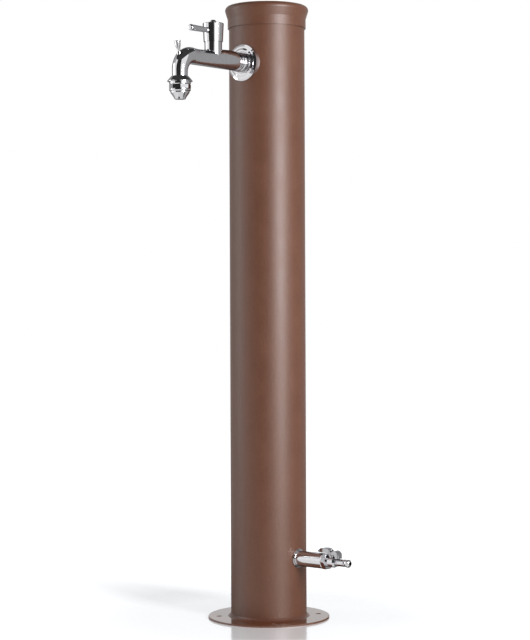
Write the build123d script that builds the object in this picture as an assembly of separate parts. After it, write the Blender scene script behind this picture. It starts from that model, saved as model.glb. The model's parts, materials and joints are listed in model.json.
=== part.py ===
from build123d import *
from math import cos, pi, radians, sin, sqrt, tan
import os

# Garden standpipe: a painted steel column on a bolted flange, with a quarter-turn lever
# tap near the top and a small ball valve with a hose tail near the foot.
# Millimetres, +Z up. The origin is the centre of the flange's underside.
# The tap points along -Y and the hose outlet along +X.

# Fits and clearances
thread_play = 0.05
running_play = 0.05
seat_play = 0.1
part_gap = 0.3
hole_play = 0.5
cut_overrun = 2.0

# Column
column_radius = 62.5
column_wall = 2.0
column_length = 1000.0
flange_radius = 100.0
flange_thickness = 3.0
flange_edge_rounding = 0.9
flange_opening_radius = 45.0
bolt_circle_radius = 82.5
bolt_hole_radius = 4.5
bolt_count = 4
first_bolt_angle = 45.0
weld_leg = 5.0
weld_throat_share = 0.4

# Top cap
cap_play = 0.3
cap_wall = 1.8
cap_skirt_drop = 30.0
cap_plain_band = 15.0
cap_crown_rise = 7.0
cap_flare = 4.2
cap_belly_drop = 8.5
cap_belly_rounding = 6.0
cap_crown_rounding = 7.5
cap_ledge_overlap = 0.6

# Places of the two outlets: the tap's below the column's top, the other's above the floor
tap_drop = 92.0
outlet_height = 102.4

# Half-inch pipework inside the column
thread_radius = 10.4
pipe_bore_radius = 7.5
thread_grip = 14.0
riser_radius = 9.0
riser_seat_depth = 12.0
fitting_radius = 13.0
fitting_band = 1.5
fitting_band_length = 6.0
fitting_gap = 3.0
tee_lower_reach = 32.0
compression_reach = 30.0
compression_thread_radius = 12.0
compression_thread_length = 11.0
compression_grip = 9.0
compression_lip = 2.5
compression_flats = 28.0
olive_length = 3.2
olive_radius = 11.4
inlet_low = 10.0
inlet_thread_length = 15.0
inlet_relief = 0.8
backnut_flats = 27.0
backnut_thickness = 7.0
wall_washer_radius = 16.0
wall_washer_thickness = 6.5

# Tap: rosette and its saddle
rosette_radius = 29.6
rosette_thickness = 3.1
rosette_rim = 0.5
rosette_sheet = 1.0
rosette_bevel_shares = ((1.0, 0.885), (0.8, 0.7))
rosette_bead_radius = 17.4
rosette_bead_width = 1.8
rosette_bead_height = 0.8
saddle_radius = 29.4
saddle_wall = 5.0
saddle_thickness = 1.4

# Tap: spout, in distances from the column's outer face
spout_root_radius = 15.0
collar_length = 14.0
collar_bead_count = 2
collar_bead_height = 0.7
collar_groove_depth = 0.9
valve_reach = 74.7
outlet_reach = 155.5
bend_radius = 26.0
arm_valve_radius = 14.4
arm_station_share = 0.8
arm_end_radius = 12.9
crown_radius = 13.5
bend_angle_shares = (0, 0.25, 0.5, 0.75, 1)
bend_radius_shares = (1, 1.02, 1.0, 0.965, 0.925)
spout_end_radius = 12.25
spout_end_drop = 35.8
spout_bore_radius = 8.2
nose_thread_radius = 10.9
nose_thread_length = 16.5

# Tap: valve boss and its chamber
boss_radius = 14.1
boss_rise = 25.7
boss_fillet = 1.5
chamber_radius = 10.2
seat_drop = 5.0
port_radius = 5.4
channel_width = 12.0
channel_height = 5.0
channel_floor = 2.8
inlet_bore_end_share = 0.55
channel_wall = 1.0

# Tap: ceramic headpart
gasket_thickness = 2.2
gasket_radius = 8.9
disc_radius = 7.6
disc_thickness = 2.6
disc_gap = 0.05
disc_window_inner = 2.2
disc_window_rim = 1.4
disc_window_angle = 76.0
disc_slot_width = 3.2
disc_slot_depth = 1.2
sleeve_radius = 9.0
sleeve_wall = 1.2
sleeve_window_width = 9.0
sleeve_window_height = 3.8
sleeve_cavity_height = 12.8
headpart_thread_length = 14.5
headpart_flats = 22.0
headpart_flats_height = 4.8
headpart_neck_radius = 6.5
headpart_neck_rise = 10.3
spindle_radius = 4.0
spindle_foot_thickness = 3.0
spindle_rise = 20.6
spindle_flat_depth = 0.8
oring_section_radius = 0.7
spindle_oring_drop = 4.0

# Tap: lever
lever_height = 30.0
lever_bottom_radius = 15.5
lever_top_radius = 17.0
lever_edge_rounding = 1.4
lever_hollow_radius = 13.2
lever_hollow_room = 1.0
lever_neck_room = 0.5
lever_web = 4.4
screw_radius = 1.95
screw_head_radius = 3.6
screw_head_height = 2.4
screw_length = 14.0
screw_socket_radius = 1.6
screw_socket_depth = 1.3
button_radius = 5.2
button_height = 7.4
button_dome_height = 5.2
rod_drop = 12.5
rod_root_radius = 4.4
rod_tip_radius = 5.0
rod_length = 40.8
rod_tip_rounding = 3.0
rod_stub_radius = 2.9
rod_stub_length = 7.0

# Tap: bucket peg on the bend
peg_angle = 44.4
peg_lean = 11.0
peg_pad_radius = 3.1
peg_pad_rise = 2.2
peg_height = 17.5
peg_radius_shares = (0.45, 0.58, 0.8, 0.95, 1.0)
peg_height_shares = (0.0, 0.28, 0.55, 0.85, 1.0)
peg_top_radius = 5.3
peg_edge_rounding = 0.6
peg_stud_radius = 1.6
peg_stud_length = 4.5

# Tap: outlet unit
aerator_skirt_radius = 20.0
aerator_skirt_drop = 8.6
aerator_lip = 0.9
aerator_skirt_shoulder = 3.0
aerator_body_radius = 17.0
aerator_length = 24.2
aerator_band_flats = 31.6
aerator_band_length = 6.0
aerator_band_drop = 4.2
aerator_groove_depth = 1.2
aerator_body_chamfer = 1.6
nozzle_radius = 15.0
nozzle_band = 2.0
nozzle_length = 12.0
nozzle_mouth_radius = 10.0
nozzle_rim_length = 3.0
nozzle_rim_radius = 8.6
nozzle_bore_radius = 7.0
nozzle_spigot_radius = 13.0
nozzle_spigot_length = 5.6
insert_radius = 9.8
insert_shelf = 4.0
insert_height = 14.0
insert_plate = 2.0
insert_wall = 1.4
jet_radius = 0.7
jet_pitch = 2.4
jet_rings = 2

# Lower outlet: distances from the column's outer face
ring_radius = 14.3
ring_flange_radius = 15.4
ring_flange_rise = 0.7
ring_web = 1.5
ring_rim = 2.0
extension_radius = 12.5
extension_reach = 53.0
extension_chamfer = 1.0
spigot_radius = 8.2
spigot_length = 11.0
valve_flats = 24.0
valve_hex_length = 8.0
barrel_radius = 8.75
barrel_length = 12.2
barrel_taper_length = 3.4
barrel_end_radius = 7.4
seat_pocket_radius = 6.2
ball_radius = 5.5
ball_bore_radius = 3.2
ball_play = 0.06
ball_slot_width = 2.4
ball_slot_depth = 1.6
seat_length = 3.0
stem_offset = 6.2
stem_radius = 2.6
stem_square = 3.8
stem_neck_radius = 4.6
stem_neck_rise = 0.75
stem_oring_section_radius = 0.5
stem_oring_drop = 1.6

# Lower outlet: hose tail
tail_spigot_length = 2.9
tail_neck_radius = 5.0
tail_neck_length = 2.4
tail_collar_radius = 6.2
tail_collar_length = 2.0
tail_shank_radius = 5.75
tail_shank_length = 12.4
tail_ridge_height = 0.45
tail_ridge_length = 2.0
tail_groove_radius = 4.6
tail_groove_length = 2.0
barb_radius = 6.45
barb_slope = 2.4
barb_rounding = 2.0
barb_mouth_wall = 0.6
barb_length = 8.4
tail_bore_radius = 3.2

# Lower outlet: butterfly handle, from its stem
handle_long_wing = 28.0
handle_short_wing = 17.0
handle_height = 11.0
handle_hub_height = 6.0
handle_web = 1.5
handle_wall = 1.3
handle_finger_room = 1.7
long_wing_half_width = 5.2
short_wing_half_width = 6.3
long_wing_shares = ((1.0, 0.58), (0.76, 0.95), (0.42, 1.08), (0.12, 0.94))
short_wing_shares = ((0.18, 0.58), (0.4, 0.78), (0.68, 0.7), (0.92, 0.35), (1.0, -0.05))
long_wing_widest_share = 0.5
short_wing_step_share = 0.62
wing_pocket_shares = (0.3, 0.84)
handle_screw_radius = 1.25
handle_screw_head_radius = 3.4
handle_screw_head_height = 2.2
handle_screw_length = 5.0

# Places worked out from the sizes
column_bore = column_radius - column_wall
column_foot = flange_thickness
column_top = column_foot + column_length
tap_height = column_top - tap_drop
cap_bore = column_radius + cap_play
cap_radius = cap_bore + cap_wall
cap_low = column_top - cap_skirt_drop
cap_top = column_top + cap_crown_rise

wall_hole_radius = thread_radius + hole_play
washer_face = column_bore - wall_washer_thickness
fitting_reach = washer_face - backnut_thickness - fitting_gap
shank_end = fitting_reach - thread_grip

saddle_face = column_radius + saddle_thickness
spout_root = saddle_face + rosette_thickness
collar_end = spout_root + collar_length
valve_distance = column_radius + valve_reach
nose_distance = column_radius + outlet_reach
bend_start = nose_distance - bend_radius
spout_underside = tap_height - spout_root_radius
bend_axis_height = spout_underside + crown_radius
bend_centre_height = bend_axis_height - bend_radius
spout_end = tap_height - spout_end_drop
nose_end = spout_end - nose_thread_length

boss_top = tap_height + boss_rise
chamber_floor = tap_height - seat_drop
channel_low = spout_underside + channel_floor
disc_low = chamber_floor + gasket_thickness
moving_disc_low = disc_low + disc_thickness + disc_gap
foot_low = moving_disc_low + disc_thickness + disc_gap
foot_top = foot_low + spindle_foot_thickness
sleeve_top = disc_low + sleeve_cavity_height
headpart_neck_top = boss_top + headpart_neck_rise
spindle_top = boss_top + spindle_rise
spindle_bore = spindle_radius + running_play

lever_low = boss_top + part_gap
lever_top = lever_low + lever_height
screw_seat = spindle_top + part_gap + lever_web
rod_height = lever_top - rod_drop

ring_seat = column_radius + ring_web
extension_end = column_radius + extension_reach
valve_hex_start = extension_end + part_gap
valve_hex_end = valve_hex_start + valve_hex_length
barrel_end = valve_hex_end + barrel_length
valve_end = barrel_end + barrel_taper_length
stem_distance = valve_hex_end + stem_offset
handle_hub_radius = stem_offset - part_gap
ball_seat_radius = ball_radius + ball_play
stem_bore = stem_radius + running_play
stem_neck_top = outlet_height + barrel_radius + stem_neck_rise
handle_low = stem_neck_top + part_gap
handle_seat = handle_low + handle_hub_height
long_wing_low = outlet_height + extension_radius + handle_finger_room
short_wing_low = outlet_height + tail_collar_radius + part_gap
stem_top = handle_seat - handle_web - seat_play
tail_spigot_end = valve_end - tail_spigot_length
tail_collar_start = valve_end + tail_neck_length
tail_shank_start = tail_collar_start + tail_collar_length
tail_shank_end = tail_shank_start + tail_shank_length
barb_start = tail_shank_end + tail_groove_length
barb_end = barb_start + barb_length

# Axes. Local Z runs out along each one, from the column's axis or from the floor.
tap_axis = Plane(origin=(0, 0, tap_height), x_dir=(1, 0, 0), z_dir=(0, -1, 0))
outlet_axis = Plane(origin=(0, 0, outlet_height), x_dir=(0, 1, 0), z_dir=(1, 0, 0))
valve_axis = Plane(origin=(0, -valve_distance, 0))
nose_axis = Plane(origin=(0, -nose_distance, 0))
stem_axis = Plane(origin=(stem_distance, 0, 0))
rod_axis = Plane(origin=(0, -valve_distance, rod_height), x_dir=(1, 0, 0), z_dir=(0, -1, 0))
riser_down = Plane(origin=(0, 0, tap_height), x_dir=(1, 0, 0), z_dir=(0, 0, -1))
riser_up = Plane(origin=(0, 0, outlet_height))


# Shapes that several pieces share


def turned(corners):
    """A solid turned about Z. A corner is (radius, height) or (radius, height, rounding)."""
    points = [(corner[0], corner[1]) for corner in corners]
    roundings = [corner[2] if len(corner) == 3 else 0 for corner in corners]
    outline = FilletPolyline(*points, radius=roundings, close=True)
    return revolve(make_face(Plane.XZ * outline), axis=Axis.Z)


def rod(radius, low, high):
    """A plain round bar along Z."""
    align = (Align.CENTER, Align.CENTER, Align.MIN)
    return Pos(0, 0, low) * Cylinder(radius, high - low, align=align)


def pipe(outer, inner, low, high):
    """A plain tube along Z."""
    return turned([(inner, low), (outer, low), (outer, high), (inner, high)])


def hex_bar(across_flats, low, high):
    """A hexagonal bar along Z with both ends chamfered at 30 degrees."""
    corner = across_flats / sqrt(3)
    face = across_flats / 2
    drop = (corner - face) * tan(radians(30))
    outline = RegularPolygon(face, 6, major_radius=False)
    bar = Pos(0, 0, low) * extrude(outline, amount=high - low)
    envelope = turned([
        (0, low),
        (face, low),
        (corner, low + drop),
        (corner, high - drop),
        (face, high),
        (0, high),
    ])
    return bar & envelope


def across_column(radius):
    """A bar as long as the column, to trim pieces that lie against its wall."""
    return rod(radius, -cut_overrun, cap_top)


# Column


def column_tube():
    """The column, with a hole in its wall for each shank."""
    tube = pipe(column_radius, column_bore, column_foot, column_top)
    hole = rod(wall_hole_radius, column_bore - column_wall, column_radius + cut_overrun)
    return tube - tap_axis * hole - outlet_axis * hole


def base_flange():
    """The round plate that the column is welded to, open in the middle for the supply."""
    plate = turned([
        (flange_opening_radius, 0),
        (flange_radius, 0),
        (flange_radius, flange_thickness, flange_edge_rounding),
        (flange_opening_radius, flange_thickness),
    ])
    hole = rod(bolt_hole_radius, -cut_overrun, flange_thickness + cut_overrun)
    for place in PolarLocations(bolt_circle_radius, bolt_count, first_bolt_angle):
        plate -= place * hole
    return plate


def base_weld():
    """The fillet weld round the column's foot."""
    inside = column_radius + seat_play
    throat = weld_leg * weld_throat_share
    return turned([
        (inside, column_foot),
        (inside + weld_leg, column_foot),
        (inside + throat, column_foot + throat),
        (inside, column_foot + weld_leg),
    ])


def top_cap():
    """The flared cap that slips over the column and rests on its upper rim."""
    belly = cap_radius + cap_flare
    ledge = column_bore - cap_ledge_overlap
    ceiling = cap_top - cap_wall
    return turned([
        (0, ceiling),
        (ledge, ceiling, cap_wall),
        (ledge, column_top),
        (cap_bore, column_top),
        (cap_bore, cap_low),
        (cap_radius, cap_low),
        (cap_radius, cap_low + cap_plain_band),
        (belly, cap_top - cap_belly_drop, cap_belly_rounding),
        (belly, cap_top, cap_crown_rounding),
        (0, cap_top),
    ])


# Pipework inside the column


def socket_arm(reach):
    """An arm of a fitting with a band at its end, from the fitting's centre outwards."""
    band = fitting_radius + fitting_band
    return turned([
        (0, 0),
        (fitting_radius, 0),
        (fitting_radius, reach - fitting_band_length),
        (band, reach - fitting_band_length + fitting_band),
        (band, reach),
        (0, reach),
    ])


def socket_bore(reach):
    """What the arm's waterway and its inner thread take away."""
    waterway = rod(pipe_bore_radius, 0, reach)
    thread = rod(thread_radius + thread_play, reach - thread_grip, reach + cut_overrun)
    return waterway + thread


def compression_arm():
    """An arm that ends in the outer thread of a compression joint."""
    shoulder = compression_reach - compression_thread_length
    return turned([
        (0, 0),
        (fitting_radius, 0),
        (fitting_radius, shoulder),
        (compression_thread_radius, shoulder),
        (compression_thread_radius, compression_reach),
        (0, compression_reach),
    ])


def compression_bore():
    """What the arm's waterway and its pipe seat take away."""
    seat = rod(
        riser_radius + seat_play,
        compression_reach - riser_seat_depth,
        compression_reach + cut_overrun,
    )
    return rod(pipe_bore_radius, 0, compression_reach) + seat


def compression_nut():
    """The nut that squeezes the olive on to the riser."""
    low = compression_reach - compression_grip
    lip = compression_reach + olive_length
    high = lip + compression_lip
    thread = rod(compression_thread_radius + thread_play, low - cut_overrun, lip)
    hole = rod(riser_radius + seat_play, low, high + cut_overrun)
    return hex_bar(compression_flats, low, high) - thread - hole


def compression_olive():
    """The brass ring between the arm and the nut's lip."""
    bore = riser_radius + seat_play
    end = (bore + olive_radius) / 2
    low = compression_reach
    high = low + olive_length
    return turned([
        (bore, low),
        (end, low),
        (olive_radius, (low + high) / 2),
        (end, high),
        (bore, high),
    ])


def outlet_tee():
    """The tee behind the lower outlet: supply below, riser above, outlet to the side."""
    down = Plane(origin=(0, 0, outlet_height), x_dir=(1, 0, 0), z_dir=(0, 0, -1))
    body = riser_up * compression_arm() + down * socket_arm(tee_lower_reach)
    body += outlet_axis * socket_arm(fitting_reach)
    body -= riser_up * compression_bore() + down * socket_bore(tee_lower_reach)
    return body - outlet_axis * socket_bore(fitting_reach)


def tap_elbow():
    """The elbow that turns the riser towards the tap's shank."""
    heel = Pos(0, 0, tap_height) * Sphere(fitting_radius)
    body = heel + riser_down * compression_arm() + tap_axis * socket_arm(fitting_reach)
    waterway = Pos(0, 0, tap_height) * Sphere(pipe_bore_radius)
    body -= waterway + riser_down * compression_bore()
    return body - tap_axis * socket_bore(fitting_reach)


def riser_pipe():
    """The pipe from the tee up to the tap's elbow."""
    inset = compression_reach - riser_seat_depth
    return pipe(riser_radius, pipe_bore_radius, outlet_height + inset, tap_height - inset)


def inlet_pipe():
    """The supply nipple, threaded at both ends, that hangs over the flange's opening."""
    high = outlet_height - tee_lower_reach + thread_grip
    waist = thread_radius - inlet_relief
    lower = inlet_low + inlet_thread_length
    upper = high - thread_grip
    return turned([
        (pipe_bore_radius, inlet_low),
        (thread_radius, inlet_low),
        (thread_radius, lower),
        (waist, lower),
        (waist, upper),
        (thread_radius, upper),
        (thread_radius, high),
        (pipe_bore_radius, high),
    ])


def backnut():
    """The nut that clamps a shank to the column's wall from inside."""
    nut = hex_bar(backnut_flats, washer_face - backnut_thickness, washer_face)
    return nut - rod(thread_radius + thread_play, shank_end, column_radius)


def wall_washer(axis):
    """A washer flat towards its nut and curved to the inside of the column."""
    blank = pipe(wall_washer_radius, wall_hole_radius, washer_face, column_radius)
    return (axis * blank) & across_column(column_bore - seat_play)


# Tap


def tap_rosette():
    """The bevelled round cover plate, pressed from sheet and hollow behind."""
    rise = (rosette_thickness - rosette_rim) / len(rosette_bevel_shares)
    front = [(rosette_radius, saddle_face)]
    back = []
    level = saddle_face + rosette_rim
    for outer_share, inner_share in rosette_bevel_shares:
        front += [(rosette_radius * outer_share, level), (rosette_radius * inner_share, level + rise)]
        back += [
            (rosette_radius * outer_share - rosette_sheet, level - rosette_rim),
            (rosette_radius * inner_share - rosette_sheet, level + rise - rosette_sheet),
        ]
        level += rise
    bead_side = rosette_bead_width / 2
    bead_top = spout_root + rosette_bead_height
    front += [
        (rosette_bead_radius + bead_side, spout_root),
        (rosette_bead_radius + bead_side, bead_top, bead_side / 2),
        (rosette_bead_radius - bead_side, bead_top, bead_side / 2),
        (rosette_bead_radius - bead_side, spout_root),
    ]
    hub = [(wall_hole_radius, spout_root), (wall_hole_radius, saddle_face)]
    well = [(spout_root_radius, spout_root - rosette_sheet), (spout_root_radius, saddle_face)]
    return tap_axis * (turned(front + hub) - turned(back + well))


def tap_saddle():
    """The ring behind the rosette, flat in front and curved to the column behind."""
    ring = pipe(saddle_radius, saddle_radius - saddle_wall, 0, saddle_face)
    return tap_axis * ring - across_column(column_radius + seat_play)


def spout_collar():
    """The collar at the root of the spout, a row of round beads."""
    pitch = collar_length / collar_bead_count
    waist = spout_root_radius - collar_groove_depth
    crest = spout_root_radius + collar_bead_height
    outline = Curve() + Line((0, spout_root), (waist, spout_root))
    for bead in range(collar_bead_count):
        near = spout_root + bead * pitch
        far = near + pitch
        outline += ThreePointArc((waist, near), (crest, (near + far) / 2), (waist, far))
    outline += Polyline((waist, collar_end), (0, collar_end), (0, spout_root))
    return tap_axis * revolve(Plane.XZ * make_face(outline), axis=Axis.Z)


def spout_section(distance, height, radius, tilt):
    """A round section of the spout. The tilt is 0 on the arm and 90 where it points down."""
    lean = radians(tilt)
    plane = Plane(
        origin=(0, -distance, height),
        x_dir=(1, 0, 0),
        z_dir=(0, -cos(lean), -sin(lean)),
    )
    return plane * Circle(radius)


def spout_arm():
    """The tapered arm, a loft through round sections that share an underside."""
    arm_station = collar_end + (bend_start - collar_end) * arm_station_share
    return loft([
        spout_section(collar_end - collar_groove_depth, tap_height, spout_root_radius, 0),
        spout_section(valve_distance, spout_underside + arm_valve_radius, arm_valve_radius, 0),
        spout_section(arm_station, spout_underside + arm_end_radius, arm_end_radius, 0),
        spout_section(bend_start, bend_axis_height, crown_radius, 0),
    ])


def spout_bend():
    """The swollen quarter bend and the straight end that the outlet unit screws on to."""
    sections = []
    for turn, swell in zip(bend_angle_shares, bend_radius_shares):
        angle = turn * pi / 2
        sections.append(spout_section(
            bend_start + bend_radius * sin(angle),
            bend_centre_height + bend_radius * cos(angle),
            crown_radius * swell,
            90 * turn,
        ))
    tip = spout_section(nose_distance, spout_end, spout_end_radius, 90)
    return loft(sections) + loft([sections[-1], tip])


def spout_waterway():
    """The bore from the valve chamber round the bend to the nose."""
    start = valve_distance + chamber_radius - cut_overrun
    route = FilletPolyline(
        (0, -start, bend_axis_height),
        (0, -nose_distance, bend_axis_height),
        (0, -nose_distance, nose_end - cut_overrun),
        radius=bend_radius,
    )
    return sweep(spout_section(start, bend_axis_height, spout_bore_radius, 0), path=route)


def valve_waterway():
    """The chamber for the headpart, the port in its floor and the channel that feeds it."""
    chamber = rod(chamber_radius, chamber_floor, boss_top + cut_overrun)
    port = rod(port_radius, channel_low, chamber_floor + cut_overrun)
    bore_end = spout_root + (valve_distance - spout_root) * inlet_bore_end_share
    feed = tap_axis * rod(pipe_bore_radius, shank_end - cut_overrun, bore_end)
    mouth = spout_section(bore_end, tap_height, pipe_bore_radius, 0)
    throat = Plane(
        origin=(0, -(valve_distance - chamber_radius - channel_wall), channel_low + channel_height / 2),
        x_dir=(1, 0, 0),
        z_dir=(0, -1, 0),
    ) * Ellipse(channel_width / 2, channel_height / 2)
    channel = loft([mouth, throat]) + extrude(throat, amount=chamber_radius + channel_wall)
    return valve_axis * (chamber + port) + feed + channel


def peg_plane():
    """The seat of the bucket peg on the outside of the bend."""
    angle = radians(peg_angle)
    reach = bend_radius + crown_radius
    lean = radians(peg_lean)
    return Plane(
        origin=(0, -(bend_start + reach * cos(angle)), bend_centre_height + reach * sin(angle)),
        x_dir=(1, 0, 0),
        z_dir=(0, -sin(lean), cos(lean)),
    )


def tap_spout():
    """The cast body: shank, collar, arm, valve boss, bend and threaded nose."""
    shank = tap_axis * rod(thread_radius, shank_end, spout_root + cut_overrun)
    boss = valve_axis * rod(boss_radius, tap_height, boss_top)
    arm = spout_arm()
    body = arm + boss
    body = fillet(new_edges(arm, boss, combined=body), boss_fillet)
    body += spout_bend() + shank + spout_collar()
    body += nose_axis * rod(nose_thread_radius, nose_end, spout_end + cut_overrun)
    body += peg_plane() * rod(peg_pad_radius, -crown_radius / 2, peg_pad_rise)
    body -= valve_waterway()
    body -= spout_waterway()
    stud_hole = rod(peg_stud_radius + thread_play, peg_pad_rise - peg_stud_length, peg_height)
    return body - peg_plane() * stud_hole


def bucket_peg():
    """The trumpet-shaped peg that keeps a bucket's handle on the spout."""
    shaft = [
        (peg_top_radius * radius, peg_pad_rise + peg_height * height)
        for radius, height in zip(peg_radius_shares, peg_height_shares)
    ]
    crown = (shaft[-1][0], shaft[-1][1], peg_edge_rounding)
    stud_end = peg_pad_rise - peg_stud_length + part_gap
    outline = [
        (0, stud_end),
        (peg_stud_radius, stud_end),
        (peg_stud_radius, peg_pad_rise),
        *shaft[:-1],
        crown,
        (0, crown[1]),
    ]
    return peg_plane() * turned(outline)


# Ceramic headpart


def bow_tie(low, high):
    """Two opposite sector windows through a disc."""
    rim = disc_radius - disc_window_rim
    ring = pipe(rim, disc_window_inner, low, high)
    half = radians(disc_window_angle / 2)
    reach = 2 * disc_radius
    wedge = make_face(Polyline(
        (0, 0),
        (reach * cos(half), reach * sin(half)),
        (reach * cos(half), -reach * sin(half)),
        close=True,
    ))
    blade = Pos(0, 0, low) * extrude(wedge, amount=high - low)
    return (ring & blade) + (ring & (Rot(0, 0, 180) * blade))


def headpart_gasket():
    """The rubber ring under the ceramic discs."""
    return valve_axis * pipe(gasket_radius, port_radius, chamber_floor, disc_low)


def ceramic_disc_fixed():
    """The lower disc, which stays put."""
    high = disc_low + disc_thickness
    disc = rod(disc_radius, disc_low, high)
    return valve_axis * (disc - bow_tie(disc_low - cut_overrun, high + cut_overrun))


def ceramic_disc_moving():
    """The upper disc, a quarter turn from the lower one while the tap is shut."""
    high = moving_disc_low + disc_thickness
    disc = rod(disc_radius, moving_disc_low, high)
    disc -= Rot(0, 0, 90) * bow_tie(moving_disc_low - cut_overrun, high + cut_overrun)
    slot = Pos(0, 0, high) * Box(disc_slot_width, 2 * disc_radius, 2 * disc_slot_depth)
    return valve_axis * (disc - slot)


def headpart_body():
    """The brass body screwed into the boss: sleeve, thread, flats and neck."""
    shoulder = boss_top - headpart_thread_length
    flats_top = boss_top + headpart_flats_height
    body = rod(sleeve_radius, disc_low, shoulder)
    body += rod(chamber_radius - thread_play, shoulder, boss_top)
    body += hex_bar(headpart_flats, boss_top, flats_top)
    body += rod(headpart_neck_radius, flats_top, headpart_neck_top)
    body -= rod(sleeve_radius - sleeve_wall, disc_low - cut_overrun, sleeve_top)
    body -= rod(spindle_bore, disc_low, headpart_neck_top + cut_overrun)
    window = Box(2 * chamber_radius, sleeve_window_width, sleeve_window_height)
    return valve_axis * (body - Pos(0, 0, sleeve_top - sleeve_window_height / 2) * window)


def headpart_spindle():
    """The spindle that the lever turns, with a foot that drives the upper disc."""
    foot = rod(disc_radius - seat_play, foot_low, foot_top)
    foot -= Rot(0, 0, 90) * bow_tie(foot_low - cut_overrun, foot_top + cut_overrun)
    tongue = Box(
        disc_slot_width - 2 * seat_play,
        2 * (disc_radius - disc_window_rim),
        disc_slot_depth - seat_play,
        align=(Align.CENTER, Align.CENTER, Align.MAX),
    )
    foot += (Pos(0, 0, foot_low) * tongue) & rod(disc_radius - seat_play, disc_low, foot_top)
    stem = rod(spindle_radius, foot_low, spindle_top)
    groove_middle = headpart_neck_top - spindle_oring_drop
    half_groove = oring_section_radius + seat_play
    stem -= pipe(
        spindle_radius + cut_overrun,
        spindle_radius - 2 * oring_section_radius - seat_play,
        groove_middle - half_groove,
        groove_middle + half_groove,
    )
    flat_low = headpart_neck_top + part_gap
    flat = Pos(0, spindle_radius, flat_low) * Box(
        2 * spindle_radius,
        2 * spindle_flat_depth,
        spindle_rise,
        align=(Align.CENTER, Align.CENTER, Align.MIN),
    )
    stem -= flat
    stem -= rod(screw_radius + thread_play, screw_seat - screw_length - part_gap, spindle_top + cut_overrun)
    return valve_axis * (foot + stem)


def spindle_oring():
    """The ring that seals the spindle in its neck."""
    ring = Torus(spindle_radius - oring_section_radius, oring_section_radius)
    return valve_axis * Pos(0, 0, headpart_neck_top - spindle_oring_drop) * ring


# Lever


def lever_cap():
    """The round lever head over the boss, hollow over the headpart's flats."""
    hollow_top = boss_top + headpart_flats_height + lever_hollow_room
    cap = turned([
        (0, lever_low),
        (lever_bottom_radius, lever_low),
        (lever_top_radius, lever_top, lever_edge_rounding),
        (0, lever_top),
    ])
    cap -= rod(lever_hollow_radius, lever_low - cut_overrun, hollow_top)
    cap -= rod(headpart_neck_radius + lever_neck_room, lever_low, headpart_neck_top + lever_hollow_room)
    spindle_hole = rod(spindle_radius + seat_play, lever_low, spindle_top + part_gap)
    flat = Pos(0, spindle_radius + seat_play, headpart_neck_top + lever_hollow_room) * Box(
        2 * spindle_radius,
        2 * spindle_flat_depth,
        2 * spindle_rise,
        align=(Align.CENTER, Align.CENTER, Align.MIN),
    )
    cap -= spindle_hole - flat
    cap -= rod(screw_radius + hole_play / 2, spindle_top, lever_top)
    cap -= rod(button_radius + seat_play, screw_seat, lever_top + cut_overrun)
    stub_hole = rod_axis * rod(
        rod_stub_radius + thread_play,
        lever_bottom_radius - rod_stub_length - part_gap,
        lever_top_radius + cut_overrun,
    )
    return valve_axis * cap - stub_hole


def lever_side():
    """The lever head's radius at the height of its rod."""
    share = (rod_height - lever_low) / lever_height
    return lever_bottom_radius + (lever_top_radius - lever_bottom_radius) * share


def lever_rod():
    """The flared rod that the hand moves, screwed into the lever head."""
    start = lever_side()
    end = start + rod_length
    shaft = turned([
        (0, start - rod_root_radius),
        (rod_root_radius, start - rod_root_radius),
        (rod_root_radius, start),
        (rod_tip_radius, end, rod_tip_rounding),
        (0, end),
    ])
    trim = turned([
        (0, lever_low),
        (lever_bottom_radius + seat_play, lever_low),
        (lever_top_radius + seat_play, lever_top),
        (0, lever_top),
    ])
    stub = rod(rod_stub_radius, start - rod_stub_length, start + rod_root_radius)
    return rod_axis * shaft - valve_axis * trim + rod_axis * stub


def lever_screw():
    """The screw under the button that holds the lever on its spindle."""
    shank = rod(screw_radius, screw_seat - screw_length, screw_seat)
    head = rod(screw_head_radius, screw_seat, screw_seat + screw_head_height)
    socket = RegularPolygon(screw_socket_radius, 6)
    recess = Pos(0, 0, screw_seat + screw_head_height - screw_socket_depth) * extrude(
        socket, amount=screw_socket_depth + cut_overrun
    )
    return valve_axis * (shank + head - recess)


def lever_button():
    """The domed button that closes the screw's pocket."""
    low = lever_top + button_dome_height - button_height
    waist = lever_top + button_dome_height / 3
    top = lever_top + button_dome_height
    return valve_axis * turned([
        (0, low),
        (button_radius, low),
        (button_radius, waist, button_radius / 4),
        (button_radius * 2 / 3, top, button_radius / 3),
        (0, top),
    ])


# Outlet unit of the tap


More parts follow.
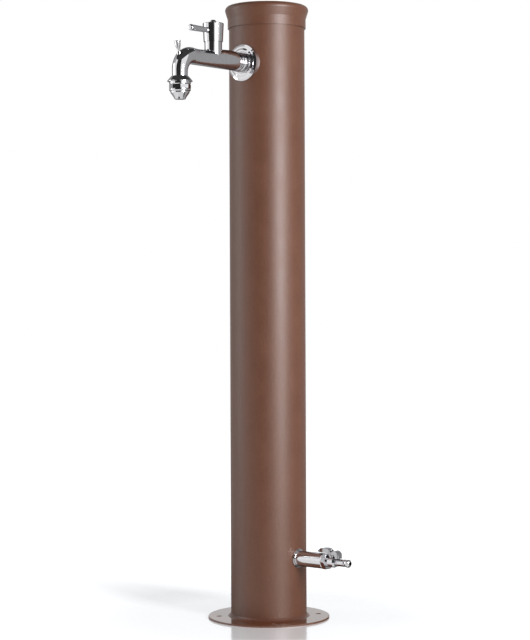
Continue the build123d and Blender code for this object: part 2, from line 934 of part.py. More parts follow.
def aerator_collar():
    """The skirted collar that screws on to the spout's nose."""
    top = spout_end
    skirt_low = top - aerator_skirt_drop
    low = collar_low()
    band_top = skirt_low - aerator_lip - aerator_band_drop
    band_low = band_top - aerator_band_length
    groove = aerator_body_radius - aerator_groove_depth
    sleeve = spout_end_radius + seat_play
    shell = turned([
        (nose_thread_radius, top),
        (sleeve + aerator_lip, top, aerator_lip / 2),
        (aerator_body_radius - aerator_lip, top - aerator_skirt_shoulder, aerator_skirt_shoulder),
        (aerator_skirt_radius, skirt_low + aerator_lip, aerator_lip),
        (aerator_skirt_radius, skirt_low),
        (aerator_body_radius, skirt_low + aerator_lip),
        (aerator_body_radius, band_top + aerator_groove_depth),
        (groove, band_top),
        (groove, band_low),
        (aerator_body_radius, band_low - aerator_groove_depth),
        (aerator_body_radius, low + aerator_body_chamfer),
        (aerator_body_radius - aerator_body_chamfer, low),
        (nose_thread_radius, low),
    ])
    band = Pos(0, 0, band_low) * extrude(
        RegularPolygon(aerator_band_flats / 2, 8, major_radius=False),
        amount=aerator_band_length,
    )
    shell += band - rod(nose_thread_radius, band_low - cut_overrun, band_top + cut_overrun)
    shell -= rod(nose_thread_radius + thread_play, low - cut_overrun, top + cut_overrun)
    seat_top = low + nozzle_spigot_length + part_gap
    shell -= rod(nozzle_spigot_radius + thread_play, low - cut_overrun, seat_top)
    return nose_axis * shell


def collar_low():
    """The height of the collar's lower face, where the nozzle seats."""
    return spout_end - aerator_length


def aerator_nozzle():
    """The conical nozzle screwed into the collar."""
    top = collar_low()
    low = top - nozzle_length
    body = turned([
        (0, top + nozzle_spigot_length),
        (nozzle_spigot_radius, top + nozzle_spigot_length),
        (nozzle_spigot_radius, top),
        (nozzle_radius, top),
        (nozzle_radius, top - nozzle_band),
        (nozzle_mouth_radius, low + nozzle_rim_length),
        (nozzle_rim_radius, low),
        (0, low),
    ])
    body -= rod(insert_radius + seat_play, low + insert_shelf, top + nozzle_spigot_length + cut_overrun)
    return nose_axis * (body - rod(nozzle_bore_radius, low - cut_overrun, top))


def aerator_insert():
    """The plastic insert with its plate of jets."""
    low = collar_low() - nozzle_length + insert_shelf
    cup = rod(insert_radius, low, low + insert_height)
    cup -= rod(insert_radius - insert_wall, low + insert_plate, low + insert_height + cut_overrun)
    jet = rod(jet_radius, low - cut_overrun, low + insert_plate + cut_overrun)
    cup -= jet
    for ring in range(1, jet_rings + 1):
        for place in PolarLocations(ring * jet_pitch, 6 * ring):
            cup -= place * jet
    return nose_axis * cup


def aerator_gasket():
    """The washer between the insert and the spout's nose."""
    low = collar_low() - nozzle_length + insert_shelf + insert_height
    return nose_axis * pipe(insert_radius, nozzle_bore_radius, low, nose_end)


# Lower outlet


def outlet_ring():
    """The stepped chrome ring between the column's wall and the outlet's shoulder."""
    ring = turned([
        (wall_hole_radius, column_bore),
        (ring_flange_radius, column_bore),
        (ring_flange_radius, column_radius + ring_flange_rise),
        (ring_radius, column_radius + ring_flange_rise),
        (ring_radius, ring_seat + ring_rim, ring_web / 2),
        (extension_radius + seat_play, ring_seat + ring_rim),
        (extension_radius + seat_play, ring_seat),
        (wall_hole_radius, ring_seat),
    ])
    return outlet_axis * ring - across_column(column_radius + seat_play)


def outlet_extension():
    """The chrome extension from the tee out to the valve."""
    body = turned([
        (pipe_bore_radius, shank_end),
        (thread_radius, shank_end),
        (thread_radius, ring_seat),
        (extension_radius, ring_seat),
        (extension_radius, extension_end - extension_chamfer),
        (extension_radius - extension_chamfer, extension_end),
        (pipe_bore_radius, extension_end),
    ])
    socket = extension_end - spigot_length - part_gap
    return outlet_axis * (body - rod(spigot_radius + thread_play, socket, extension_end + cut_overrun))


def valve_body():
    """The small ball valve: spigot, hexagon, barrel and the neck round its stem."""
    body = rod(spigot_radius, extension_end - spigot_length, valve_hex_start)
    body += hex_bar(valve_flats, valve_hex_start, valve_hex_end)
    body += turned([
        (0, valve_hex_end),
        (barrel_radius, valve_hex_end),
        (barrel_radius, barrel_end),
        (barrel_end_radius, valve_end),
        (0, valve_end),
    ])
    pocket_start = stem_distance - ball_seat_radius - seat_play - seat_length / 4
    body = outlet_axis * body + stem_axis * rod(stem_neck_radius, outlet_height, stem_neck_top)
    body -= outlet_axis * rod(ball_bore_radius, extension_end - spigot_length - cut_overrun, valve_end)
    body -= outlet_axis * rod(seat_pocket_radius, pocket_start, valve_end + cut_overrun)
    return body - stem_axis * rod(stem_bore, outlet_height, stem_neck_top + cut_overrun)


def valve_seat(side):
    """A seat ring, cupped to the ball. The side is -1 towards the column and 1 away."""
    far = ball_seat_radius + seat_length / 4
    near = far - seat_length
    ring = pipe(seat_pocket_radius - seat_play, ball_bore_radius, near, far)
    cup = Sphere(ball_seat_radius)
    return Pos(stem_distance, 0, outlet_height) * Rot(0, 90 * side, 0) * (ring - cup)


def valve_ball():
    """The bored ball, with a slot on top for the stem."""
    ball = Sphere(ball_radius) - Rot(0, 90, 0) * Cylinder(ball_bore_radius, 3 * ball_radius)
    slot = Pos(0, 0, ball_radius) * Box(2 * ball_radius, ball_slot_width, 2 * ball_slot_depth)
    return Pos(stem_distance, 0, outlet_height) * (ball - slot)


def valve_stem():
    """The stem from the ball's slot up to the handle's square hole."""
    shoulder = outlet_height + ball_radius + seat_play
    stem = rod(stem_radius, shoulder, handle_low)
    tongue_height = ball_slot_depth
    tongue = Pos(0, 0, shoulder) * Box(
        2 * stem_radius,
        ball_slot_width - 2 * seat_play,
        tongue_height,
        align=(Align.CENTER, Align.CENTER, Align.MAX),
    )
    stem += tongue & rod(stem_radius, outlet_height, shoulder)
    square = Pos(0, 0, handle_low) * Rectangle(stem_square, stem_square)
    stem += extrude(square, amount=stem_top - handle_low) & rod(stem_radius, handle_low, stem_top)
    middle = stem_neck_top - stem_oring_drop
    half_groove = stem_oring_section_radius + seat_play
    stem -= pipe(
        stem_radius + cut_overrun,
        stem_radius - 2 * stem_oring_section_radius - seat_play,
        middle - half_groove,
        middle + half_groove,
    )
    screw_end = handle_seat - handle_screw_length
    stem -= rod(handle_screw_radius + thread_play, screw_end - part_gap, stem_top + cut_overrun)
    return stem_axis * stem


def stem_oring():
    """The ring that seals the stem in its neck."""
    ring = Torus(stem_radius - stem_oring_section_radius, stem_oring_section_radius)
    return stem_axis * Pos(0, 0, stem_neck_top - stem_oring_drop) * ring


def hose_tail():
    """The hose tail: spigot in the valve, neck, collar, shank and a rounded barb."""
    bore = tail_bore_radius
    ridge = tail_shank_radius + tail_ridge_height
    body = turned([
        (bore, tail_spigot_end),
        (seat_pocket_radius - thread_play, tail_spigot_end),
        (seat_pocket_radius - thread_play, valve_end),
        (tail_neck_radius, valve_end),
        (tail_neck_radius, tail_collar_start),
        (tail_collar_radius, tail_collar_start),
        (tail_collar_radius, tail_shank_start),
        (tail_shank_radius, tail_shank_start),
        (tail_shank_radius, tail_shank_end - tail_ridge_length),
        (ridge, tail_shank_end - tail_ridge_length / 2),
        (ridge, tail_shank_end),
        (tail_groove_radius, tail_shank_end),
        (tail_groove_radius, barb_start),
        (barb_radius, barb_start + barb_slope, barb_rounding),
        (barb_radius, barb_end - barb_slope, barb_rounding),
        (bore + barb_mouth_wall, barb_end),
        (bore, barb_end),
    ])
    groove = pipe(
        seat_pocket_radius + cut_overrun,
        seat_pocket_radius - 2 * stem_oring_section_radius - seat_play,
        tail_groove_middle() - stem_oring_section_radius - seat_play,
        tail_groove_middle() + stem_oring_section_radius + seat_play,
    )
    return outlet_axis * (body - groove)


def tail_groove_middle():
    """The place of the seal on the tail's spigot."""
    return (tail_spigot_end + valve_end) / 2


def hose_tail_oring():
    """The ring that seals the tail in the valve."""
    ring = Torus(seat_pocket_radius - thread_play - stem_oring_section_radius, stem_oring_section_radius)
    return outlet_axis * Pos(0, 0, tail_groove_middle()) * ring


def wing_points(reach, shares):
    """Points on a wing's back, from shares of its reach and of the handle's height."""
    return [(reach * out, handle_low + handle_height * up) for out, up in shares]


def handle_side():
    """The handle seen from the side: an arched wing, the hub and a wing that drops at its end."""
    long_wing = wing_points(-handle_long_wing, long_wing_shares)
    short_wing = wing_points(handle_short_wing, short_wing_shares)
    back = Spline(*long_wing, *short_wing)
    step = handle_short_wing * short_wing_step_share
    underside = Polyline(
        short_wing[-1],
        (handle_short_wing, short_wing_low),
        (step, short_wing_low),
        (step, handle_low),
        (-handle_hub_radius, handle_low),
        (-handle_hub_radius, long_wing_low),
        (-handle_long_wing, long_wing_low),
        long_wing[0],
    )
    return Plane.XZ * make_face(back.edges() + underside.edges())


def wing_leaf(length, half_width):
    """A pointed leaf that lies along -X, from the stem to its tip."""
    widest = -length * long_wing_widest_share
    near = Spline((0, half_width), (widest, half_width), (-length, 0))
    far = mirror(near, about=Plane.XZ)
    root = Line((0, -half_width), (0, half_width))
    return make_face(near.edges() + far.edges() + root.edges())


def handle_plan():
    """The handle seen from above: a leaf, the hub and a rounded paddle."""
    length = handle_short_wing
    align = (Align.MIN, Align.CENTER)
    paddle = RectangleRounded(length, 2 * short_wing_half_width, short_wing_half_width / 2, align=align)
    return wing_leaf(handle_long_wing, long_wing_half_width) + Circle(handle_hub_radius) + paddle


def butterfly_handle():
    """The two-winged handle, hollow under its long wing, with a square hole for the stem."""
    body = extrude(handle_side(), amount=handle_half_width(), both=True)
    crown = handle_low + 2 * handle_height
    body &= extrude(Pos(0, 0, short_wing_low) * handle_plan(), amount=crown - short_wing_low)
    near_share, far_share = wing_pocket_shares
    pocket = Pos(0, 0, long_wing_low - cut_overrun) * wing_leaf(
        handle_long_wing * far_share,
        long_wing_half_width - handle_wall,
    )
    roof = handle_low + handle_height * long_wing_shares[1][1] - handle_wall
    depth = roof - long_wing_low + cut_overrun
    keep = rod(handle_long_wing * near_share, handle_low, crown)
    body -= extrude(pocket, amount=depth) - keep
    hole = stem_square + 2 * seat_play
    square = Pos(0, 0, handle_low - cut_overrun) * Rectangle(hole, hole)
    socket = extrude(square, amount=stem_top + seat_play - handle_low + cut_overrun)
    body -= socket & rod(stem_radius + seat_play, handle_low - cut_overrun, handle_seat)
    hex_top = outlet_height + valve_flats / 2
    body -= pipe(
        handle_short_wing * short_wing_step_share,
        handle_hub_radius,
        short_wing_low - cut_overrun,
        hex_top + part_gap,
    )
    body -= rod(handle_screw_radius + seat_play, handle_low, handle_seat + cut_overrun)
    body -= rod(handle_screw_head_radius + seat_play, handle_seat, crown)
    return stem_axis * body


def handle_half_width():
    """Half the handle's greatest width."""
    return max(long_wing_half_width, short_wing_half_width, handle_hub_radius)


def handle_screw():
    """The screw that holds the handle on its stem."""
    shank = rod(handle_screw_radius, handle_seat - handle_screw_length, handle_seat)
    head = rod(handle_screw_head_radius, handle_seat, handle_seat + handle_screw_head_height)
    return stem_axis * (shank + head)


# The pieces, one file each

pieces = {
    "column_tube": column_tube(),
    "base_flange": base_flange(),
    "base_weld": base_weld(),
    "top_cap": top_cap(),
    "inlet_pipe": inlet_pipe(),
    "outlet_tee": outlet_tee(),
    "riser_pipe": riser_pipe(),
    "tap_elbow": tap_elbow(),
    "riser_nut_lower": riser_up * compression_nut(),
    "riser_nut_upper": riser_down * compression_nut(),
    "riser_olive_lower": riser_up * compression_olive(),
    "riser_olive_upper": riser_down * compression_olive(),
    "tap_backnut": tap_axis * backnut(),
    "tap_backnut_washer": wall_washer(tap_axis),
    "tap_saddle": tap_saddle(),
    "tap_rosette": tap_rosette(),
    "tap_spout": tap_spout(),
    "bucket_peg": bucket_peg(),
    "headpart_gasket": headpart_gasket(),
    "ceramic_disc_fixed": ceramic_disc_fixed(),
    "ceramic_disc_moving": ceramic_disc_moving(),
    "headpart_body": headpart_body(),
    "headpart_spindle": headpart_spindle(),
    "spindle_oring": spindle_oring(),
    "lever_cap": lever_cap(),
    "lever_rod": lever_rod(),
    "lever_screw": lever_screw(),
    "lever_button": lever_button(),
    "aerator_collar": aerator_collar(),
    "aerator_nozzle": aerator_nozzle(),
    "aerator_insert": aerator_insert(),
    "aerator_gasket": aerator_gasket(),
    "outlet_backnut": outlet_axis * backnut(),
    "outlet_backnut_washer": wall_washer(outlet_axis),
    "outlet_ring": outlet_ring(),
    "outlet_extension": outlet_extension(),
    "valve_body": valve_body(),
    "valve_seat_inner": valve_seat(-1),
    "valve_seat_outer": valve_seat(1),
    "valve_ball": valve_ball(),
    "valve_stem": valve_stem(),
    "stem_oring": stem_oring(),
    "butterfly_handle": butterfly_handle(),
    "handle_screw": handle_screw(),
    "hose_tail": hose_tail(),
    "hose_tail_oring": hose_tail_oring(),
}

os.makedirs("parts", exist_ok=True)
for name, piece in pieces.items():
    export_step(piece, f"parts/{name}.step")
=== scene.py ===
import json
from functools import cached_property
from math import cos, pi, radians, sin

import bpy
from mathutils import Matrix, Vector


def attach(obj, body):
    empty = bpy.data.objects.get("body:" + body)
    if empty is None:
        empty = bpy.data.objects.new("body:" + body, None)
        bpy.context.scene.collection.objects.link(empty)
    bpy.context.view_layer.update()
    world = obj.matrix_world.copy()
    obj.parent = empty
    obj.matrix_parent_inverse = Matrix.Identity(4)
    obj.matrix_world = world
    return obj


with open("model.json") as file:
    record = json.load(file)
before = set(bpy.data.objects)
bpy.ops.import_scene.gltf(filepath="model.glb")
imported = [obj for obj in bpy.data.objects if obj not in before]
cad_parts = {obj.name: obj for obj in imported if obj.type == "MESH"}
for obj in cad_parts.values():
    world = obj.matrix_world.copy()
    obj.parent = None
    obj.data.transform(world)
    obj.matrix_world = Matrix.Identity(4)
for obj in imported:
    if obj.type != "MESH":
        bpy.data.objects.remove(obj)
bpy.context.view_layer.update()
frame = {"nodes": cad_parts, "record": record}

# The camera, fitted to the photograph. Lengths in metres, pixels in the 530 by 640 frame.
picture_height = 640
picture_middle = (265, 320)
column_pixel = 267.7
horizon_pixel = 293
focal_pixels = 1802
camera_azimuth = radians(38.5)
camera_distance = 2.984
camera_height = 0.536
camera_roll = radians(0.22)
camera_sight = 50
sensor_side = 36

# The table. Its gloss, and the glow that whitens it to the camera, change with the distance
# from the column: each has two radii, and a value for each radius. The gloss's values are
# factors on a Fresnel share.
floor_radius = 4.0
floor_corners = 96
floor_roughness = 0.9
gloss_index = 1.45
gloss_roughness = 0.14
gloss_radii = (0.19, 0.3)
gloss_values = (1.66, 0.05)
glow_radii = (0.2, 0.6)
glow_values = (0.26, 0.62)

# The studio. Azimuths are in degrees from the camera's own and grow to the picture's right.
world_level = 0.52
card_distance = 3.6
card_height = 4.4
upright_steps = 24
flat_steps = 48
ceiling_height = 3.1
ceiling_radius = 2.4
under_floor = -0.004
foot_radius = 0.1
near_radius = 0.7
lamp_distance = 2.4

# The flat hexagon of painted shade that stands for the socket in the handle's screw, as a share of the
# head's radius and lifted clear of it
socket_sides = 6
socket_share = 0.5
socket_lift = 0.00003

# Patterns: the ripples in one turn of the weld, how much the paint's flecks rise and show,
# and how closely the lines of brushed steel lie along each axis
weld_ripples = 110
fleck_relief = 0.25
fleck_share = 0.22
brush_scale = (300, 300, 4000)

# Colours, linear
white = (1, 1, 1, 1)
plain_grey = (0.5, 0.5, 0.5, 1)
table_pale = (0.83, 0.845, 0.875, 1)
table_gloss = (0.97, 0.985, 1, 1)
paint_deep = (0.098, 0.033, 0.0145, 1)
paint_light = (0.114, 0.04, 0.0185, 1)
paint_fleck = (0.15, 0.059, 0.03, 1)
weld_deep = (0.09, 0.031, 0.017, 1)
weld_light = (0.112, 0.04, 0.022, 1)
chrome_smeared = (0.71, 0.7, 0.722, 1)
chrome_clean = (0.76, 0.752, 0.77, 1)
chrome_edge = (0.3, 0.3, 0.32, 1)
cast_smeared = (0.48, 0.474, 0.49, 1)
cast_clean = (0.56, 0.552, 0.57, 1)
brass_bright = (0.75, 0.52, 0.21, 1)
brass_tarnished = (0.42, 0.27, 0.11, 1)
zinc_dark = (0.5, 0.51, 0.53, 1)
zinc_pale = (0.68, 0.69, 0.7, 1)
steel_dark = (0.55, 0.55, 0.56, 1)
steel_pale = (0.72, 0.72, 0.73, 1)
rubber_black = (0.012, 0.012, 0.013, 1)
rubber_bloom = (0.04, 0.04, 0.042, 1)
ceramic_warm = (0.8, 0.78, 0.73, 1)
ceramic_white = (0.88, 0.87, 0.84, 1)
plastic_dull = (0.72, 0.72, 0.7, 1)
plastic_pale = (0.8, 0.8, 0.78, 1)
# Painted shade for the honeycomb's hollows, then the plastic's own pale walls
cell_hollow_shade = (0.2, 0.2, 0.2, 1)
cell_wall = (0.76, 0.76, 0.74, 1)
# Painted shade for the screw's socket, near black with a faint mottle
socket_shade_black = (0.01, 0.01, 0.011, 1)
socket_shade_grey = (0.05, 0.048, 0.045, 1)


def around(azimuth, distance, height):
    """The place at an azimuth, a distance from the column's axis and a height."""
    angle = camera_azimuth + radians(azimuth)
    return Vector((sin(angle) * distance, -cos(angle) * distance, height))


def make_camera():
    """A level camera with the photograph's lens, shift and slight roll."""
    data = bpy.data.cameras.new("camera")
    data.sensor_fit = "VERTICAL"
    data.sensor_width = sensor_side
    data.sensor_height = sensor_side
    data.lens = sensor_side * focal_pixels / picture_height
    data.shift_x = (picture_middle[0] - column_pixel) / picture_height
    data.shift_y = (horizon_pixel - picture_middle[1]) / picture_height
    data.clip_end = camera_sight
    camera = bpy.data.objects.new("camera", data)
    camera.location = around(0, camera_distance, camera_height)
    camera.rotation_euler = (pi / 2, camera_roll, camera_azimuth)
    bpy.context.collection.objects.link(camera)
    bpy.context.scene.camera = camera
    bpy.context.scene.view_settings.view_transform = "Standard"


# Node building


class Nodes:
    """A short way to write a node tree."""

    def __init__(self, tree):
        self.tree = tree
        tree.nodes.clear()

    def join(self, value, socket):
        """Give a socket a value, or a link where the value is a socket."""
        if isinstance(value, bpy.types.NodeSocket):
            self.tree.links.new(value, socket)
        else:
            socket.default_value = value

    def add(self, kind, inputs=None, **settings):
        """Add a node. Inputs are values, or sockets to link."""
        node = self.tree.nodes.new(kind)
        for name, value in settings.items():
            setattr(node, name, value)
        for name, value in (inputs or {}).items():
            self.join(value, node.inputs[name])
        return node

    def end(self, shader, kind="ShaderNodeOutputMaterial"):
        """Link a shader node to the tree's output."""
        self.add(kind, {"Surface": shader.outputs[0]})

    def math(self, operation, first, second=0.0):
        """The result of an operation on two values or sockets."""
        return self.add("ShaderNodeMath", {0: first, 1: second}, operation=operation).outputs[0]

    def spread(self, value, low, high, to_low, to_high):
        """Map a range of a value to another range."""
        inputs = {"Value": value, "From Min": low, "From Max": high, "To Min": to_low, "To Max": to_high}
        return self.add("ShaderNodeMapRange", inputs).outputs[0]

    def blend(self, share, first, second):
        """Mix two colours by a share."""
        node = self.add("ShaderNodeMix", data_type="RGBA")
        for name, value in (("Factor_Float", share), ("A_Color", first), ("B_Color", second)):
            self.join(value, next(s for s in node.inputs if s.identifier == name))
        return next(s for s in node.outputs if s.identifier == "Result_Color")

    def fade(self, value, first, second, low=0.3, high=0.7):
        """Mix two colours by where a value lies between low and high."""
        return self.blend(self.spread(value, low, high, 0, 1), first, second)

    def light_path(self):
        """The outputs that tell what kind of ray asks."""
        return self.add("ShaderNodeLightPath").outputs


class Material(Nodes):
    """A new material, whose patterns lie in the object's own metres."""

    def __init__(self, name):
        self.material = bpy.data.materials.new(name)
        self.material.use_nodes = True
        super().__init__(self.material.node_tree)

    @cached_property
    def place(self):
        """The place on the object."""
        return self.add("ShaderNodeTexCoord").outputs["Object"]

    def axes(self, vector):
        """The outputs X, Y and Z of a vector."""
        return self.add("ShaderNodeSeparateXYZ", {"Vector": vector}).outputs

    def noise(self, scale, detail, roughness, place=None):
        """A noise factor."""
        where = self.place if place is None else place
        inputs = {"Vector": where, "Scale": scale, "Detail": detail, "Roughness": roughness}
        return self.add("ShaderNodeTexNoise", inputs).outputs[0]

    def cells(self, scale, randomness=1.0):
        """The distance to the middle of the nearest cell."""
        inputs = {"Vector": self.place, "Scale": scale, "Randomness": randomness}
        return self.add("ShaderNodeTexVoronoi", inputs).outputs["Distance"]

    def bump(self, height, strength, depth):
        """A bumped normal."""
        inputs = {"Height": height, "Strength": strength, "Distance": depth}
        return self.add("ShaderNodeBump", inputs).outputs[0]

    def finish(self, **inputs):
        """Close the material with one principled shader, and give it back."""
        named = {name.replace("_", " "): value for name, value in inputs.items()}
        self.end(self.add("ShaderNodeBsdfPrincipled", named))
        self.material.diffuse_color = plain_grey
        return self.material


# Materials


def powder_coat(name, smooth, rough, shine, fuzz=0.06, bumps=0.35, edge=None):
    """Brown powder coat: fine orange peel and a faint mottle in colour and gloss.

    With an edge value, faces that stand upright have that roughness instead.
    """
    coat = Material(name)
    mottle = coat.noise(scale=26, detail=4, roughness=0.6)
    fleck = coat.noise(scale=300, detail=3, roughness=0.65)
    grain = coat.noise(scale=900, detail=2, roughness=0.5)
    relief = coat.math("ADD", grain, coat.math("MULTIPLY", fleck, fleck_relief))
    base = coat.fade(mottle, paint_deep, paint_light)
    gloss = coat.spread(mottle, 0.2, 0.8, smooth, rough)
    if edge is not None:
        normal = coat.add("ShaderNodeTexCoord").outputs["Normal"]
        level = coat.math("ABSOLUTE", coat.axes(normal)["Z"])
        gloss = coat.math("MAXIMUM", gloss, coat.spread(level, 0.6, 0.95, edge, 0))
    return coat.finish(
        Base_Color=coat.blend(coat.spread(fleck, 0.38, 0.66, 0, fleck_share), base, paint_fleck),
        Roughness=gloss,
        Normal=coat.bump(relief, bumps, depth=0.0006),
        Specular_IOR_Level=shine,
        Sheen_Weight=fuzz,
        Sheen_Roughness=0.5,
    )


def weld_coat():
    """The same coat over a weld bead, whose ripples run round the tube."""
    coat = Material("weld_coat")
    axes = coat.axes(coat.place)
    turn = coat.math("ARCTAN2", axes["Y"], axes["X"])
    ripple = coat.math("SINE", coat.math("MULTIPLY", turn, weld_ripples))
    mottle = coat.noise(scale=60, detail=3, roughness=0.6)
    relief = coat.math("ADD", ripple, coat.math("MULTIPLY", mottle, 2.0))
    return coat.finish(
        Base_Color=coat.fade(mottle, weld_deep, weld_light),
        Roughness=0.34,
        Normal=coat.bump(relief, strength=0.12, depth=0.0005),
    )


def plated_chrome(name, smooth, rough, smeared, clean):
    """Plated chrome: a mirror with faint smears and very shallow casting waves."""
    plate = Material(name)
    smear = plate.noise(scale=160, detail=4, roughness=0.6)
    wave = plate.noise(scale=55, detail=1, roughness=0.4)
    return plate.finish(
        Base_Color=plate.fade(smear, smeared, clean),
        Metallic=1.0,
        Roughness=plate.spread(smear, 0.4, 0.75, smooth, rough),
        Normal=plate.bump(wave, strength=0.1, depth=0.0004),
        Specular_Tint=chrome_edge,
    )


def machined_brass():
    """Turned brass with fine tool marks and a slight tarnish."""
    brass = Material("machined_brass")
    tarnish = brass.noise(scale=70, detail=5, roughness=0.65)
    marks = brass.noise(scale=1800, detail=1, roughness=0.4)
    return brass.finish(
        Base_Color=brass.fade(tarnish, brass_bright, brass_tarnished, low=0.4, high=0.75),
        Metallic=1.0,
        Roughness=brass.spread(tarnish, 0.3, 0.7, 0.24, 0.42),
        Normal=brass.bump(marks, strength=0.2, depth=0.0002),
    )


def zinc_plate():
    """Zinc plated pipe with a faint spangle."""
    zinc = Material("zinc_plate")
    cloud = zinc.noise(scale=40, detail=4, roughness=0.6)
    return zinc.finish(
        Base_Color=zinc.fade(zinc.cells(scale=170.0), zinc_dark, zinc_pale, low=0),
        Metallic=1.0,
        Roughness=zinc.spread(cloud, 0.3, 0.7, 0.32, 0.5),
        Normal=zinc.bump(cloud, strength=0.15, depth=0.0004),
    )


def brushed_stainless():
    """Stainless steel, finely brushed."""
    steel = Material("brushed_stainless")
    stretch = steel.add("ShaderNodeMapping", {"Vector": steel.place, "Scale": brush_scale})
    lines = steel.noise(scale=1, detail=3, roughness=0.6, place=stretch.outputs[0])
    return steel.finish(
        Base_Color=steel.blend(lines, steel_dark, steel_pale),
        Metallic=1.0,
        Roughness=steel.spread(lines, 0.3, 0.7, 0.2, 0.34),
        Normal=steel.bump(lines, strength=0.1, depth=0.0001),
    )


def soft_rubber():
    """Black rubber with a dusty bloom."""
    rubber = Material("soft_rubber")
    bloom = rubber.noise(scale=220, detail=4, roughness=0.6)
    return rubber.finish(
        Base_Color=rubber.fade(bloom, rubber_black, rubber_bloom, low=0.4, high=0.8),
        Roughness=0.6,
        Normal=rubber.bump(bloom, strength=0.2, depth=0.0002),
    )


def lapped_ceramic():
    """White lapped ceramic."""
    ceramic = Material("lapped_ceramic")
    grain = ceramic.noise(scale=1500, detail=2, roughness=0.5)
    return ceramic.finish(
        Base_Color=ceramic.fade(grain, ceramic_warm, ceramic_white),
        Roughness=0.22,
        Normal=ceramic.bump(grain, strength=0.1, depth=0.0001),
    )


def moulded_plastic():
    """Pale moulded plastic with a fine spark-eroded texture."""
    plastic = Material("pale_plastic")
    cloud = plastic.noise(scale=120, detail=3, roughness=0.5)
    grain = plastic.noise(scale=2200, detail=2, roughness=0.5)
    return plastic.finish(
        Base_Color=plastic.fade(cloud, plastic_dull, plastic_pale),
        Roughness=0.45,
        Normal=plastic.bump(grain, strength=0.25, depth=0.0002),
    )


def honeycomb_plastic():
    """The jet former of the outlet: pale plastic with small cells, whose hollows are darkened with
    painted shade.
    """
    plastic = Material("honeycomb_plastic")
    # One mask gives the cells' relief and the painted shade in their hollows
    relief_and_shade = plastic.spread(plastic.cells(scale=750.0, randomness=0.0), 0.25, 0.45, 0, 1)
    return plastic.finish(
        Base_Color=plastic.blend(relief_and_shade, cell_hollow_shade, cell_wall),
        Roughness=0.42,
        Normal=plastic.bump(relief_and_shade, strength=0.6, depth=0.0006),
    )


def socket_shadow():
    """The painted shade inside a screw's socket: near black, with a faint random mottle."""
    shadow = Material("socket_shadow")
    shade_mottle = shadow.noise(scale=900, detail=3, roughness=0.6)
    return shadow.finish(Base_Color=shadow.blend(shade_mottle, socket_shade_black, socket_shade_grey), Roughness=0.5)


# Dressing


def dress(slots, special):
    """Give each CAD node the material of its slot, or its own."""
    by_node = {part["node"]: part["material_slot"] for part in frame["record"]["subparts"]}
    for name, piece in frame["nodes"].items():
        piece.data.materials.clear()
        piece.data.materials.append(special.get(name, slots[by_node[name]]))


def make_socket_shade(node, body):
    """A flat dark hexagon on the head of a screw that points up: painted shade that stands for its
    socket.
    """
    piece = frame["nodes"][node]
    corners = [piece.matrix_world @ Vector(corner) for corner in piece.bound_box]
    low, high = (Vector(end(c[i] for c in corners) for i in range(3)) for end in (min, max))
    middle = (low + high) / 2
    reach = (high.x - low.x) / 2 * socket_share
    turns = [2 * pi * side / socket_sides for side in range(socket_sides)]
    top = high.z + socket_lift
    rim = [(middle.x + reach * cos(turn), middle.y + reach * sin(turn), top) for turn in turns]
    mesh = bpy.data.meshes.new("socket")
    mesh.from_pydata(rim, [], [tuple(range(socket_sides))])
    mesh.materials.append(socket_shadow())
    socket = bpy.data.objects.new("socket", mesh)
    bpy.context.collection.objects.link(socket)
    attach(socket, body)


# Studio


def make_world():
    """White to the camera and to reflections, and a plain soft level for the light."""
    world = bpy.data.worlds.new("studio")
    bpy.context.scene.world = world
    world.use_nodes = True
    nodes = Nodes(world.node_tree)
    rays = nodes.light_path()
    seen = nodes.math("MAXIMUM", rays["Is Camera Ray"], rays["Is Glossy Ray"])
    seen = nodes.math("MAXIMUM", seen, rays["Is Transmission Ray"])
    level = nodes.spread(seen, 0, 1, world_level, 1.0)
    background = nodes.add("ShaderNodeBackground", {"Color": white, "Strength": level})
    nodes.end(background, "ShaderNodeOutputWorld")


def make_floor():
    """A pale table, as white to the camera as the backdrop, that keeps the shadow.

    It is glossy round the foot alone, and less so to a steep look.
    """
    bpy.ops.mesh.primitive_circle_add(vertices=floor_corners, radius=floor_radius, fill_type="NGON")
    floor = bpy.context.object
    floor.name = "floor"
    # Gloss doesn't see the table: the strips under it give a painted reflection of it instead
    floor.visible_glossy = False
    table = Material("table")
    radius = table.add("ShaderNodeVectorMath", {0: table.place}, operation="LENGTH").outputs["Value"]
    glow = table.spread(radius, *glow_radii, *glow_values)
    shine = table.add("ShaderNodeFresnel", {"IOR": gloss_index}).outputs[0]
    share = table.math("MULTIPLY", table.spread(radius, *gloss_radii, *gloss_values), shine)
    matt = table.add("ShaderNodeBsdfPrincipled", {
        "Base Color": table_pale,
        "Roughness": floor_roughness,
        "Specular IOR Level": 0.0,
        "Emission Color": white,
        "Emission Strength": table.math("MULTIPLY", table.light_path()["Is Camera Ray"], glow),
    })
    gloss = table.add("ShaderNodeBsdfGlossy", {"Color": table_gloss, "Roughness": gloss_roughness})
    table.end(table.add("ShaderNodeMixShader", {
        "Fac": table.math("MINIMUM", share, 1.0),
        1: matt.outputs[0],
        2: gloss.outputs[0],
    }))
    floor.data.materials.append(table.material)


def make_card(name, tone, start, end, steps, first, second):
    """A strip of one grey round the stage that lights nothing and shows only in gloss.

    It spans two azimuths, between two rings that each have a distance and a height.
    """
    corners = []
    for step in range(steps + 1):
        azimuth = start + (end - start) * step / steps
        corners += [around(azimuth, *first), around(azimuth, *second)]
    faces = [(2 * i, 2 * i + 1, 2 * i + 3, 2 * i + 2) for i in range(steps)]
    mesh = bpy.data.meshes.new(name)
    mesh.from_pydata(corners, [], faces)
    card = bpy.data.objects.new(name, mesh)
    bpy.context.collection.objects.link(card)
    card.visible_camera = False
    card.visible_diffuse = False
    card.visible_shadow = False
    card.visible_transmission = False
    grey = Material(name)
    grey.end(grey.add("ShaderNodeEmission", {"Color": white, "Strength": tone}))
    mesh.materials.append(grey.material)


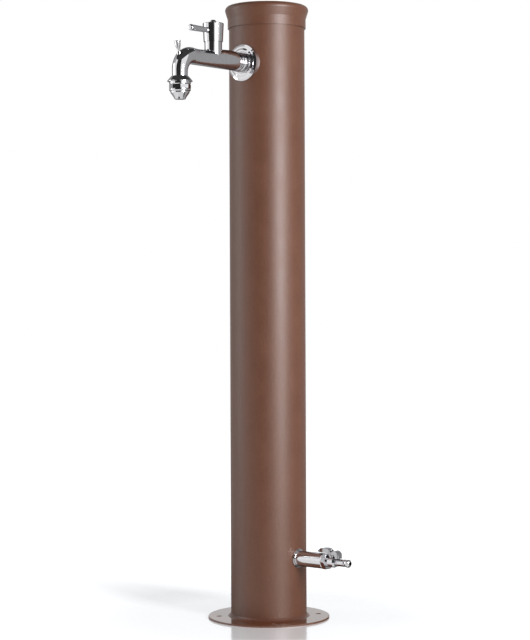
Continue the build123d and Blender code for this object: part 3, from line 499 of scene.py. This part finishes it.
def make_lamp(name, azimuth, height, width, tall, watts, aim_height):
    """A soft box that faces the column."""
    data = bpy.data.lights.new(name, "AREA")
    data.shape = "RECTANGLE"
    data.size = width
    data.size_y = tall
    data.energy = watts
    lamp = bpy.data.objects.new(name, data)
    lamp.location = around(azimuth, lamp_distance, height)
    aim = Vector((0, 0, aim_height)) - lamp.location
    lamp.rotation_euler = aim.to_track_quat("-Z", "Y").to_euler()
    lamp.visible_camera = False
    bpy.context.collection.objects.link(lamp)


def make_cards():
    """The dark, grey and pale cards that the chrome reflects."""
    for name, tone, start, end in (
        ("dark_room", 0.03, -51, 11),
        ("left_grey", 0.5, -160, -80),
        ("right_grey", 0.38, 73, 157),
    ):
        make_card(name, tone, start, end, upright_steps, (card_distance, 0), (card_distance, card_height))
    # The flat strips under the floor stand in for the table in gloss. Their tones are a painted
    # reflection of the table's light and shade.
    for name, tone, start, end, inner, outer, height in (
        ("dark_ceiling", 0.05, -180, 180, 0, ceiling_radius, ceiling_height),
        # A painted shadow round the foot, on the side away from the right lamp
        ("painted_foot_shadow", 0.16, 52, 255, 0, near_radius, under_floor),
        ("floor_before", 0.8, -36, 52, 0, near_radius, under_floor),
        ("floor_left", 0.9, -105, -36, foot_radius, card_distance, under_floor),
        ("floor_front", 0.05, -36, -6, near_radius, card_distance, under_floor),
        ("floor_right", 0.8, -6, 52, near_radius, card_distance, under_floor),
        ("floor_side", 0.38, 52, 165, near_radius, card_distance, under_floor),
        ("floor_back", 0.5, 165, 255, near_radius, card_distance, under_floor),
    ):
        make_card(name, tone, start, end, flat_steps, (inner, height), (outer, height))


make_camera()
make_world()
make_floor()
make_cards()
make_lamp("right_box", azimuth=40, height=0.95, width=0.55, tall=1.2, watts=62, aim_height=0.75)
make_lamp("left_box", azimuth=-95, height=0.9, width=0.9, tall=2.0, watts=14, aim_height=0.5)
dress({
    "column_paint": powder_coat("powder_coat", smooth=0.4, rough=0.48, shine=0.62),
    "chrome": plated_chrome(
        "polished_chrome", smooth=0.04, rough=0.09, smeared=chrome_smeared, clean=chrome_clean,
    ),
    "brass": machined_brass(),
    "galvanised_pipe": zinc_plate(),
    "steel": brushed_stainless(),
    "black_rubber": soft_rubber(),
    "white_ceramic": lapped_ceramic(),
    "pale_plastic": moulded_plastic(),
}, {
    "base_flange": powder_coat(
        "smooth_coat", smooth=0.07, rough=0.13, shine=0.9, fuzz=0.0, bumps=0.06, edge=0.45,
    ),
    "top_cap": powder_coat("cap_coat", smooth=0.37, rough=0.45, shine=0.66),
    "base_weld": weld_coat(),
    "butterfly_handle": plated_chrome(
        "cast_chrome", smooth=0.12, rough=0.2, smeared=cast_smeared, clean=cast_clean,
    ),
    "aerator_insert": honeycomb_plastic(),
})
make_socket_shade("handle_screw", "outlet_handle")
